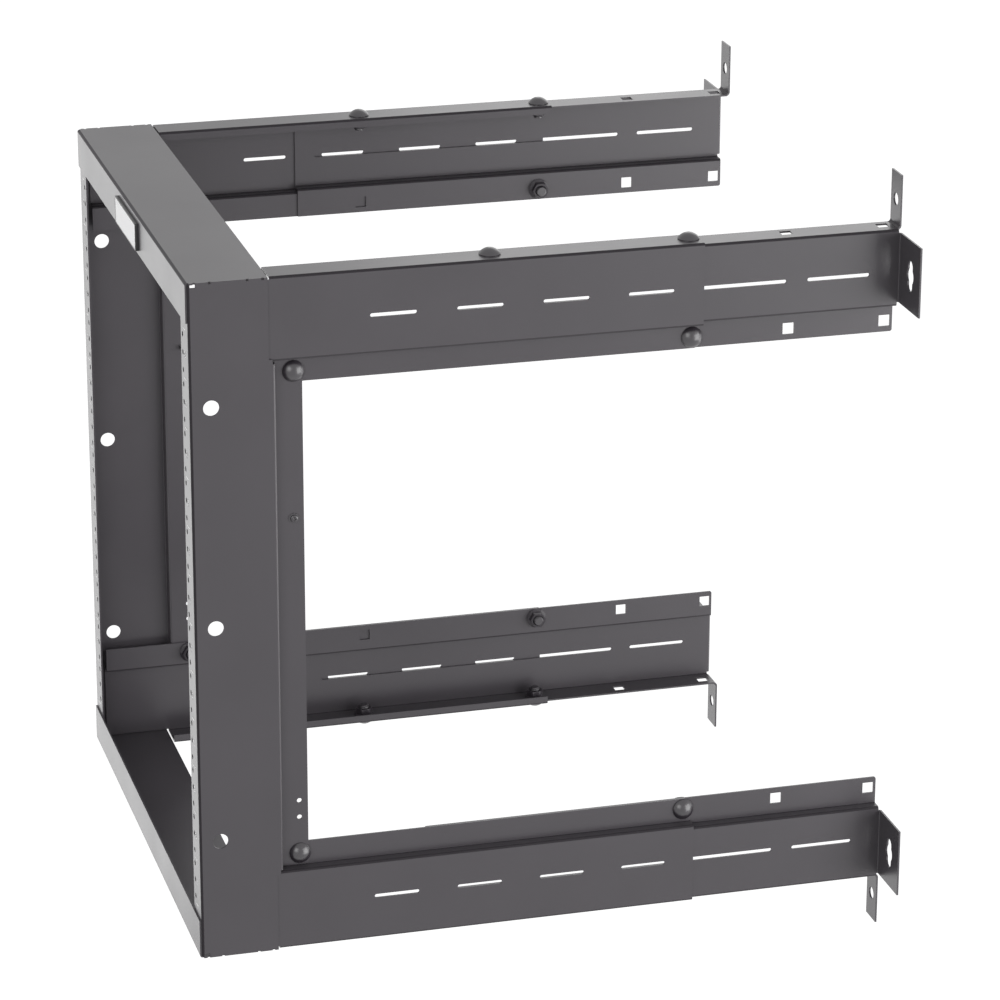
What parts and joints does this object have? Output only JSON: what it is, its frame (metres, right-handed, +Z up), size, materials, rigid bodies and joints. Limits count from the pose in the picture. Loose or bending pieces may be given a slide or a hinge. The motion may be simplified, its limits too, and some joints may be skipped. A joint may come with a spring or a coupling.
{
  "type": "wall mount rack",
  "caption": "Open frame wall rack for 19 inch equipment, with drilled front rails, folded side arms, and bolted extensions that set how deep it is.",
  "frame": {"origin": "on the wall, in the plane of the wall flanges' backs, at the centre of the top right extension's keyhole as seen from the front", "axes": "+Y from the front rails to the wall, +X to the right seen from the front, +Z up"},
  "size_m": [0.605, 0.6396, 0.715],
  "materials": {
    "powder_coat": "satin powder coat, dark grey to black",
    "zinc_fixings": "satin, black coated steel",
    "plate": "satin, blank"
  },
  "bodies": {
    "root": {"top_cross_member": "powder_coat", "bottom_cross_member": "powder_coat", "name_plate": "plate", "right_post": "powder_coat", "left_post": "powder_coat", "right_earth_screw": "zinc_fixings", "left_earth_screw": "zinc_fixings", "top_right_arm": "powder_coat", "top_right_extension": "powder_coat", "top_right_flange_bolts": "zinc_fixings", "top_right_lip_bolts": "zinc_fixings", "top_right_flange_nuts": "zinc_fixings", "top_right_lip_nuts": "zinc_fixings", "top_left_arm": "powder_coat", "top_left_extension": "powder_coat", "top_left_flange_bolts": "zinc_fixings", "top_left_lip_bolts": "zinc_fixings", "top_left_flange_nuts": "zinc_fixings", "top_left_lip_nuts": "zinc_fixings", "bottom_right_arm": "powder_coat", "bottom_right_extension": "powder_coat", "bottom_right_flange_bolts": "zinc_fixings", "bottom_right_lip_bolts": "zinc_fixings", "bottom_right_flange_nuts": "zinc_fixings", "bottom_right_lip_nuts": "zinc_fixings", "bottom_left_arm": "powder_coat", "bottom_left_extension": "powder_coat", "bottom_left_flange_bolts": "zinc_fixings", "bottom_left_lip_bolts": "zinc_fixings", "bottom_left_flange_nuts": "zinc_fixings", "bottom_left_lip_nuts": "zinc_fixings"}
  },
  "joints": []
}
